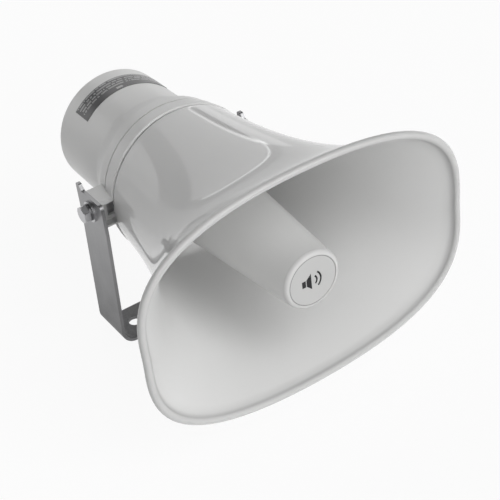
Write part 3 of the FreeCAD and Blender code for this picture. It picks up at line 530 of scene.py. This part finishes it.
def sound_sign(across, up, width):
    """Mask of the printed sound sign: a small loudspeaker and two waves, on both sides of a middle line."""
    unit = width / SIGN_GRID
    u = across / unit + SIGN_SHIFT
    v = abs(up / unit)
    box = (v < BOX_HALF_HEIGHT) * u.between(*BOX_SPAN)
    cone = (v < BOX_HALF_HEIGHT + (u - CONE_SPAN[0]) * CONE_SLOPE) * u.between(*CONE_SPAN)
    reach = distance(u, v)
    sign = box.either(cone)
    for radius in WAVE_RADII:
        sign = sign.either((abs(reach - radius) < WAVE_HALF_WIDTH) * (v < u * WAVE_SLOPE))
    return sign * (reach < SIGN_REACH)


def badge_finish(name, color, ink, sign_width):
    """Pale disc with a thin dark ring of painted shade round its edge for the groove there, and a printed
    sound sign.
    """
    finish = Finish(name, color, 0.34, {"Specular IOR Level": 0.25})
    across, _, up = finish.millimetres()
    sign = sound_sign(across, up, sign_width * TO_MM)
    # Painted shade: a thin dark ring along the disc's edge stands in for the shade in the groove round the
    # badge.
    groove_shade = distance(across, up) > (BADGE_HIGH.x - BADGE_LOW.x) / 2 * TO_MM - BADGE_GROOVE_SHADE
    clouds = finish.noise(40)
    speck = finish.noise(2600, detail=2.0)
    ground = finish.mix(groove_shade * 0.6, finish.tones(clouds, 0.99, 1.02), toned(color, BADGE_GROOVE_SHADE_TONE))
    finish.link("Base Color", finish.mix(sign, ground, ink))
    finish.link("Roughness", 0.33 + 0.06 * clouds - 0.08 * sign)
    finish.bump(speck * 0.4 + sign, depth=0.03, strength=0.4)
    return finish.material


def label_print(turn, depth, span, band):
    """Mask of the label's print, from the turn about the axis and the depth behind the front edge."""
    row = (depth - band) / ((span - band) / PRINT_ROWS)
    in_row = abs(row % 1.0 - 0.5) < ROW_HALF_FILL
    inside = row.between(ROW_MARGIN, PRINT_ROWS - ROW_MARGIN) * (abs(turn) < PRINT_HALF_TURN)
    step = (turn - BLOCK_START) / BLOCK_PITCH
    by_step, by_row, by_both = BLOCK_SCATTER
    block = step.math("FLOOR") * by_step + row.math("FLOOR") * by_row
    chance = (block.math("SINE") * by_both) % 1.0
    in_block = (step % 1.0 < BLOCK_FILL) * (chance > GAP_CHANCE)
    plate = (abs(turn - PLATE_TURN) < PLATE_HALF_TURN) * (abs(depth - band * 0.5) < band * PLATE_HALF_SHARE)
    line = (abs(depth - span + LINE_INSET) < LINE_HALF_WIDTH) * (abs(turn) < LINE_HALF_TURN)
    return (inside * in_row * in_block).either(plate).either(line)


def label_finish(name, ground, ink, front_band):
    """Dark foil wrapped over the barrel: a plain band in front and rows of small light blocks behind it."""
    finish = Finish(name, ground, 0.36, {"Coat Weight": 0.3, "Coat Roughness": 0.2})
    across, along, up = finish.millimetres()
    turn = finish.math("ARCTAN2", across, up) * TO_DEGREES
    depth = along - (LABEL_LOW.y - MOUTH_Y) * TO_MM
    marks = label_print(turn, depth, (LABEL_HIGH.y - LABEL_LOW.y) * TO_MM, front_band * TO_MM)
    grain = finish.noise(1500, detail=2.0)
    scuff = finish.noise(55, detail=4.0)
    worn = marks * (0.75 + 0.25 * scuff)
    finish.link("Base Color", finish.mix(worn, finish.tones(scuff, 0.85, 1.2), ink))
    finish.link("Roughness", 0.32 + 0.12 * scuff)
    finish.bump(grain, depth=0.02, strength=0.3)
    return finish.material


def give(node, material):
    """Puts a material on a node that is carried over from the frame."""
    piece = NODES[node]
    piece.data.materials.clear()
    piece.data.materials.append(material)


def new_piece(name, vertices, faces, material, body):
    """Mesh piece in the part's frame that rides on a body."""
    mesh = bpy.data.meshes.new(name)
    mesh.from_pydata(vertices, [], faces)
    mesh.validate()
    mesh.shade_smooth()
    mesh.set_sharp_from_angle(angle=SHARP_ANGLE)
    mesh.materials.append(material)
    piece = bpy.data.objects.new(name, mesh)
    bpy.context.scene.collection.objects.link(piece)
    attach(piece, body)
    return piece


def loop_faces(ring_count, ring_size):
    """Quads between rings of points, and from the last ring back to the first."""
    faces = []
    for i in range(ring_count):
        a = i * ring_size
        b = (i + 1) % ring_count * ring_size
        for j in range(ring_size):
            k = (j + 1) % ring_size
            faces.append((a + j, a + k, b + k, b + j))
    return faces


def spread(start, end, count):
    """Evenly spread values from start to end."""
    return [start + (end - start) * i / (count - 1) for i in range(count)]


def growth(rate, part):
    """Exponential opening of the bell, 0 at the seam and 1 at the mouth."""
    return (math.exp(rate * part) - 1) / (math.exp(rate) - 1)


def cubic(a, b, c, d, t):
    """Value at t of a cubic with four poles."""
    s = 1 - t
    return s * s * s * a + 3 * s * s * t * b + 3 * s * t * t * c + t * t * t * d


def bell_ring(sizes, y, inset=0.0, plane_y=None):
    """Points round the bell's outer form at y, drawn in by inset. They can be set in another plane."""
    part = (SEAM_Y - y) / (SEAM_Y - MOUTH_Y)
    side_rise = sizes.mouth_width / 2 - sizes.seam_radius
    top_rise = sizes.mouth_height / 2 - sizes.seam_radius
    half_width = sizes.seam_radius + side_rise * growth(sizes.side_growth, part) - inset
    half_height = sizes.seam_radius + top_rise * growth(sizes.top_growth, part) - inset
    blend = max(part, 0.0) ** sizes.shape_rise
    side_pole = CIRCLE_POLE + (sizes.side_pole - CIRCLE_POLE) * blend
    top_pole = CIRCLE_POLE + (sizes.top_pole - CIRCLE_POLE) * blend
    quarter = []
    for i in range(sizes.quarter_points):
        t = i / sizes.quarter_points
        x = cubic(half_width, half_width, half_width * top_pole, 0.0, t)
        z = cubic(0.0, half_height * side_pole, half_height, half_height, t)
        quarter.append((x, z))
    points = list(quarter)
    points += [(0.0, half_height)] + [(-x, z) for x, z in reversed(quarter[1:])]
    points += [(-half_width, 0.0)] + [(-x, -z) for x, z in quarter[1:]]
    points += [(0.0, -half_height)] + [(x, -z) for x, z in reversed(quarter[1:])]
    level = y if plane_y is None else plane_y
    return [(x, level, AXIS_Z + z) for x, z in points]


def circle_ring(radius, y, like):
    """Circle about the horn axis with its points in the directions of another ring's."""
    points = []
    for x, _, z in like:
        reach = math.hypot(x, z - AXIS_Z)
        points.append((x / reach * radius, y, AXIS_Z + (z - AXIS_Z) / reach * radius))
    return points


def bell_rings(sizes):
    """Rings of the bell in order: rear edge, outside, lip, inside, inner corner and the back's hole."""
    rings = []
    edge_y = SEAM_Y - sizes.seam_edge
    for turn in spread(math.pi / 2, 0, EDGE_RINGS):
        inset = sizes.seam_edge * (1 - math.cos(turn))
        rings.append(bell_ring(sizes, edge_y, inset, edge_y + sizes.seam_edge * math.sin(turn)))
    lip = sizes.lip_radius
    for y in spread(edge_y, MOUTH_Y + 2 * lip, sizes.stations)[1:]:
        rings.append(bell_ring(sizes, y))
    for turn in spread(LIP_START, -math.pi / 2, LIP_RINGS):
        inset = lip * (1 - math.sin(turn))
        rings.append(bell_ring(sizes, MOUTH_Y, inset, MOUTH_Y + lip * (1 - math.cos(turn))))
    corner = sizes.inner_corner
    inner_back = SEAM_Y - sizes.back_wall
    corner_y = inner_back - corner
    for y in spread(MOUTH_Y + sizes.lip_blend, corner_y, sizes.stations):
        rings.append(bell_ring(sizes, y, sizes.wall))
    for turn in spread(0, math.pi / 2, CORNER_RINGS)[1:]:
        inset = sizes.wall + corner * (1 - math.cos(turn))
        rings.append(bell_ring(sizes, corner_y, inset, corner_y + corner * math.sin(turn)))
    rings.append(circle_ring(sizes.back_hole, inner_back, rings[-1]))
    rings.append(circle_ring(sizes.back_hole, SEAM_Y, rings[0]))
    return rings


class HORN_OT_bell(bpy.types.Operator):
    """Draws the enamelled bell with its rolled lip"""

    bl_idname = "horn.bell"
    bl_label = "Bell"

    def execute(self, context):
        rings = bell_rings(context.scene.horn_sizes)
        points = [point for ring in rings for point in ring]
        faces = loop_faces(len(rings), len(rings[0]))
        enamel = enamel_finish("bell_enamel", colour_of(context, "enamel"))
        bell = new_piece("bell", points, faces, enamel, "horn")
        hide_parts("horn_flare")
        return {"FINISHED"}


class HORN_OT_reflector(bpy.types.Operator):
    """Finishes the reflector, its badge and the throat tube"""

    bl_idname = "horn.reflector"
    bl_label = "Reflector and Badge"

    def execute(self, context):
        plastic = colour_of(context, "plastic")
        # The reflector's front end takes painted shade.
        satin = moulded_finish("reflector_satin", plastic, roughness=0.36, coat=0.15,
                               end_shade_tone=REFLECTOR_END_SHADE_TONE)
        give("reflector", satin)
        ink = colour_of(context, "badge_ink")
        sign_width = context.scene.horn_sizes.sign_width
        # The badge takes the plastic darkened as painted shade, for the stronger light on its front face.
        give("reflector_badge", badge_finish("badge_print", toned(plastic, BADGE_SHADE_TONE), ink, sign_width))
        give("throat_tube", moulded_finish("tube_plastic", toned(plastic, TUBE_TONE), roughness=0.45))
        return {"FINISHED"}


class HORN_OT_cover(bpy.types.Operator):
    """Finishes the rear cover, the cable bush, the gaskets and the label"""

    bl_idname = "horn.cover"
    bl_label = "Rear Cover and Label"

    def execute(self, context):
        shell = toned(colour_of(context, "plastic"), COVER_TONE)
        give("rear_cover", moulded_finish("cover_plastic", shell, roughness=0.34, coat=0.25))
        rubber = rubber_finish("black_rubber", colour_of(context, "rubber"))
        for node in ("cable_grommet", "flare_gasket", "throat_gasket"):
            give(node, rubber)
        ground = colour_of(context, "label_ground")
        ink = colour_of(context, "label_ink")
        front_band = context.scene.horn_sizes.label_front_band
        give("rating_label", label_finish("label_foil", ground, ink, front_band))
        return {"FINISHED"}


class HORN_OT_bracket(bpy.types.Operator):
    """Finishes the steel bracket"""

    bl_idname = "horn.bracket"
    bl_label = "Bracket"

    def execute(self, context):
        give("u_bracket", bracket_finish("bracket_satin", colour_of(context, "steel")))
        return {"FINISHED"}


class HORN_OT_fasteners(bpy.types.Operator):
    """Finishes the bolts, washers, nuts and screws"""

    bl_idname = "horn.fasteners"
    bl_label = "Fasteners"

    def execute(self, context):
        bright = colour_of(context, "bright")
        stainless = plated_finish("stainless", bright, roughness=0.34)
        for node in ("pivot_bolts", "flat_washers", "ear_nuts"):
            give(node, stainless)
        # Painted shade: the spring washers are darkened so that dark bands lie between the bolt head and the
        # flat washer.
        shaded_spring = plated_finish("spring_steel", toned(bright, SPRING_WASHER_SHADE_TONE), roughness=0.3)
        give("spring_washers", shaded_spring)
        zinc = plated_finish("zinc_plate", toned(bright, SCREW_TONE), roughness=0.30)
        for node in ("reflector_screw", "throat_screws", "flare_screws", "driver_screws", "strap_screws"):
            give(node, zinc)
        return {"FINISHED"}


class HORN_OT_driver(bpy.types.Operator):
    """Finishes the compression driver inside the cover"""

    bl_idname = "horn.driver"
    bl_label = "Driver"

    def execute(self, context):
        alloy = colour_of(context, "cast_alloy")
        face = brushed_finish("cast_alloy", alloy, roughness=0.5, axis="X", scratches=260, depth=0.06)
        give("driver_face", face)
        give("phase_plug", moulded_finish("plug_plastic", colour_of(context, "plug"), roughness=0.5))
        film = colour_of(context, "film")
        give("diaphragm", layered_finish("phenolic_dome", film, pitch=1.1, axis="X", roughness=0.35))
        copper = colour_of(context, "copper")
        coil = layered_finish("copper_turns", copper, pitch=0.3, axis="Y", roughness=0.3, metallic=1.0)
        give("voice_coil", coil)
        steel = plated_finish("yoke_steel", colour_of(context, "yoke_steel"), roughness=0.36)
        give("top_plate", steel)
        give("pole_yoke", steel)
        ferrite = colour_of(context, "ferrite")
        give("magnet", moulded_finish("ferrite", ferrite, roughness=0.62, grain=900, depth=0.08))
        board = colour_of(context, "board")
        give("terminal_board", layered_finish("phenolic_board", board, pitch=0.5, axis="Z", roughness=0.45))
        brass = colour_of(context, "tinned_brass")
        give("terminal_tags", plated_finish("tinned_brass", brass, roughness=0.3))
        return {"FINISHED"}


class HORN_OT_transformer(bpy.types.Operator):
    """Finishes the line transformer at the back of the cover"""

    bl_idname = "horn.transformer"
    bl_label = "Transformer"

    def execute(self, context):
        steel = colour_of(context, "core")
        core = layered_finish("laminations", steel, pitch=0.5, axis="Y", roughness=0.5, metallic=0.8)
        give("transformer_core", core)
        bobbin = colour_of(context, "bobbin")
        give("transformer_bobbin", moulded_finish("bobbin_plastic", bobbin, roughness=0.5))
        tape = colour_of(context, "tape")
        winding = layered_finish("winding_tape", tape, pitch=5.0, axis="Z", roughness=0.4)
        give("transformer_winding", winding)
        strap = colour_of(context, "strap")
        give("transformer_strap", brushed_finish("strap_steel", strap, roughness=0.4, axis="Y"))
        return {"FINISHED"}


def camera_axes():
    """Right, up and back directions of the camera."""
    a, e, r = (math.radians(v) for v in (CAMERA_AZIMUTH, CAMERA_ELEVATION, CAMERA_ROLL))
    back = Vector((math.sin(a) * math.cos(e), -math.cos(a) * math.cos(e), math.sin(e)))
    right = Vector((math.cos(a), math.sin(a), 0))
    up = back.cross(right)
    return right * math.cos(r) + up * math.sin(r), up * math.cos(r) - right * math.sin(r), back


def add_camera():
    """Camera at the viewing angle of the photograph."""
    data = bpy.data.cameras.new("camera")
    data.lens = CAMERA_LENS
    data.sensor_width = CAMERA_SENSOR
    data.clip_end = CAMERA_REACH
    camera = bpy.data.objects.new("camera", data)
    turn = Matrix(camera_axes()).transposed().to_4x4()
    camera.matrix_world = Matrix.Translation(CAMERA_PLACE) @ turn
    bpy.context.scene.collection.objects.link(camera)
    bpy.context.scene.camera = camera


def add_floor(color):
    """Pale floor that reads as white to the camera and still takes the shadow."""
    finish = Finish("floor_paper", color, 0.85)
    finish.shade(finish.noise(500), 0.01)
    rays = finish.node("ShaderNodeLightPath", {}, {}).outputs
    camera, glossy, through = (Field(finish, rays["Is %s Ray" % kind])
                               for kind in ("Camera", "Glossy", "Transmission"))
    seen = camera.either(glossy).either(through)
    glow = finish.node("ShaderNodeEmission", {}, {"Color": (1, 1, 1, 1), "Strength": 1.0})
    blend = finish.node("ShaderNodeMixShader", {}, {
        0: seen * FLOOR_WHITENESS, 1: finish.shader.outputs[0], 2: glow.outputs[0]})
    finish.tree.links.new(blend.outputs[0], finish.output.inputs["Surface"])
    corners = [(x * FLOOR_HALF, y * FLOOR_HALF, 0) for x, y in ((-1, -1), (1, -1), (1, 1), (-1, 1))]
    mesh = bpy.data.meshes.new("floor")
    mesh.from_pydata(corners, [], [(0, 1, 2, 3)])
    mesh.materials.append(finish.material)
    floor = bpy.data.objects.new("floor", mesh)
    bpy.context.scene.collection.objects.link(floor)


def add_world():
    """Soft studio light from the walls, the table and the light boxes around the horn."""
    world = bpy.data.worlds.new("studio")
    studio = Tree(world)
    x, y, z = studio.split(studio.coordinates("Generated"))
    bearing = studio.math("ARCTAN2", x, y) * TO_DEGREES
    rise = z.math("ARCSINE") * TO_DEGREES
    light = ROOM_LEVEL
    for _, left, right, low, high, strength in STUDIO_PARTS:
        part = bearing.within(left, right, EDGE_SOFTNESS) * rise.within(low, high, EDGE_SOFTNESS)
        light = light + part * strength
    light = light.either(rise.within(UNDER_FLOOR, HORIZON_TOP, EDGE_SOFTNESS))
    glow = studio.node("ShaderNodeBackground", {}, {"Color": (1, 1, 1, 1), "Strength": light})
    studio.node("ShaderNodeOutputWorld", {}, {"Surface": glow.outputs[0]})
    bpy.context.scene.world = world


class HORN_OT_stage(bpy.types.Operator):
    """Sets the studio light, the floor and the camera"""

    bl_idname = "horn.stage"
    bl_label = "Studio"

    def execute(self, context):
        context.scene.view_settings.view_transform = "Standard"
        add_world()
        add_floor(colour_of(context, "floor"))
        add_camera()
        return {"FINISHED"}


BUILDERS = (HORN_OT_bell, HORN_OT_reflector, HORN_OT_cover, HORN_OT_bracket, HORN_OT_fasteners,
            HORN_OT_driver, HORN_OT_transformer, HORN_OT_stage)


class HORN_PT_panel(bpy.types.Panel):
    """Lists the builders and the values they read"""

    bl_idname = "HORN_PT_panel"
    bl_label = "Reflex Horn"
    bl_space_type = "VIEW_3D"
    bl_region_type = "UI"
    bl_category = "Horn"

    def draw(self, context):
        for group in (context.scene.horn_sizes, context.scene.horn_paints):
            column = self.layout.column()
            for name in group.__annotations__:
                column.prop(group, name)
        for builder in BUILDERS:
            self.layout.operator(builder.bl_idname)


CLASSES = (HornSizes, HornPaints, *BUILDERS, HORN_PT_panel)


def register():
    for entry in CLASSES:
        bpy.utils.register_class(entry)
    bpy.types.Scene.horn_sizes = bpy.props.PointerProperty(type=HornSizes)
    bpy.types.Scene.horn_paints = bpy.props.PointerProperty(type=HornPaints)


def unregister():
    del bpy.types.Scene.horn_paints
    del bpy.types.Scene.horn_sizes
    for entry in reversed(CLASSES):
        bpy.utils.unregister_class(entry)


def main():
    """Builds every piece in order."""
    register()
    bpy.ops.horn.bell()
    bpy.ops.horn.reflector()
    bpy.ops.horn.cover()
    bpy.ops.horn.bracket()
    bpy.ops.horn.fasteners()
    bpy.ops.horn.driver()
    bpy.ops.horn.transformer()
    bpy.ops.horn.stage()


if __name__ == "__main__":
    main()
